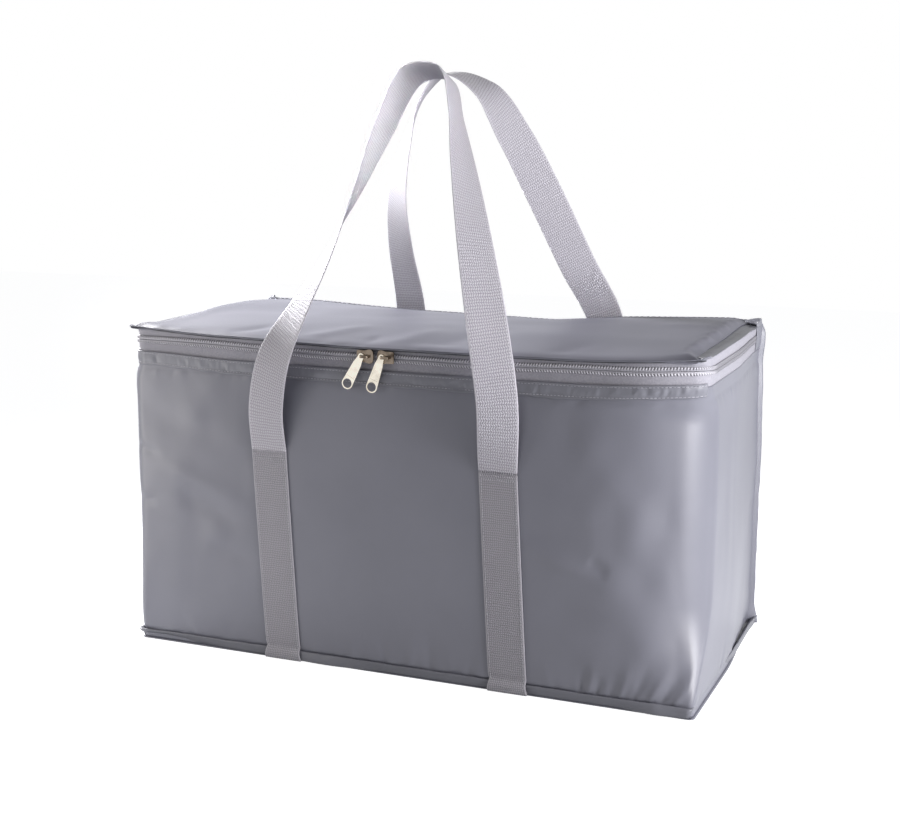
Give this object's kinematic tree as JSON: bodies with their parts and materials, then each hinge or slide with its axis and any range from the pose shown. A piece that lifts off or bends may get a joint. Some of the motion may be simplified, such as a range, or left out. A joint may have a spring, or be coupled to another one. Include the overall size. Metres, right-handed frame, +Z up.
{
  "type": "insulated bag",
  "caption": "Boxy insulated carry bag with foam-padded fabric walls, a hinged lid closed by a zip with metal sliders, and webbing carry handles.",
  "frame": {"origin": "on the floor under the middle of the body", "axes": "+Z up, the front face with the zip sliders looks along -Y, +X to the right as seen from the front"},
  "size_m": [0.5864, 0.3285, 0.5826],
  "materials": {
    "shell_fabric": "satin",
    "foam": "matte",
    "liner": "satin",
    "zip_tape": "matte",
    "zip_coil": "satin",
    "webbing": "matte",
    "nickel": "polished"
  },
  "bodies": {
    "bag_body": {"wrap_panel": "shell_fabric", "rear_panel": "shell_fabric", "bottom_panel": "shell_fabric", "bottom_seam_flange": "shell_fabric", "top_band": "shell_fabric", "rear_hinge_roll": "shell_fabric", "foam_wrap": "foam", "foam_rear": "foam", "foam_bottom": "foam", "liner_body": "liner", "zip_tape_lower": "zip_tape", "zip_coil_lower": "zip_coil", "rear_seam_edge_left": "shell_fabric", "rear_seam_edge_right": "shell_fabric", "zip_end_tab_left": "shell_fabric", "zip_end_tab_right": "shell_fabric", "front_strap_left": "webbing", "front_strap_right": "webbing", "rear_strap_left": "webbing", "rear_strap_right": "webbing"},
    "lid": {"lid_panel": "shell_fabric", "lid_foam": "foam", "lid_liner": "liner", "lid_seam_flange": "shell_fabric", "zip_tape_upper": "zip_tape", "zip_coil_upper": "zip_coil"},
    "front_carry_handle": {"front_handle": "webbing"},
    "rear_carry_handle": {"rear_handle": "webbing"},
    "left_slider": {"zip_slider_left": "nickel"},
    "right_slider": {"zip_slider_right": "nickel"},
    "left_pull": {"pull_tab_left": "nickel"},
    "right_pull": {"pull_tab_right": "nickel"}
  },
  "joints": [
    {"name": "lid_hinge", "type": "hinge", "parent": "bag_body", "child": "lid", "pos_m": [0, 0.14, 0.322], "axis": [-1, 0, 0], "range_deg": [0, 100]},
    {"name": "front_handle_fold", "type": "hinge", "parent": "bag_body", "child": "front_carry_handle", "pos_m": [0, -0.1417, 0.212], "axis": [1, 0, 0], "range_deg": [0, 135]},
    {"name": "rear_handle_fold", "type": "hinge", "parent": "bag_body", "child": "rear_carry_handle", "pos_m": [0, 0.1417, 0.212], "axis": [-1, 0, 0], "range_deg": [0, 135]},
    {"name": "zip_left_slide", "type": "slide", "parent": "bag_body", "child": "left_slider", "axis": [-1, 0, 0], "range_m": [0, 0.225]},
    {"name": "zip_right_slide", "type": "slide", "parent": "bag_body", "child": "right_slider", "axis": [1, 0, 0], "range_m": [0, 0.255]},
    {"name": "left_pull_swing", "type": "hinge", "parent": "left_slider", "child": "left_pull", "pos_m": [-0.033, -0.1445, 0.3105], "axis": [0, 1, 0], "range_deg": [-17, 31]},
    {"name": "right_pull_swing", "type": "hinge", "parent": "right_slider", "child": "right_pull", "pos_m": [-0.012, -0.1445, 0.3105], "axis": [0, 1, 0], "range_deg": [-50, 12]}
  ],
  "couplings": [
    {"joint": "front_handle_fold", "follows": "lid_hinge", "ratio": 1.35},
    {"joint": "rear_handle_fold", "follows": "lid_hinge", "ratio": 1.35}
  ]
}
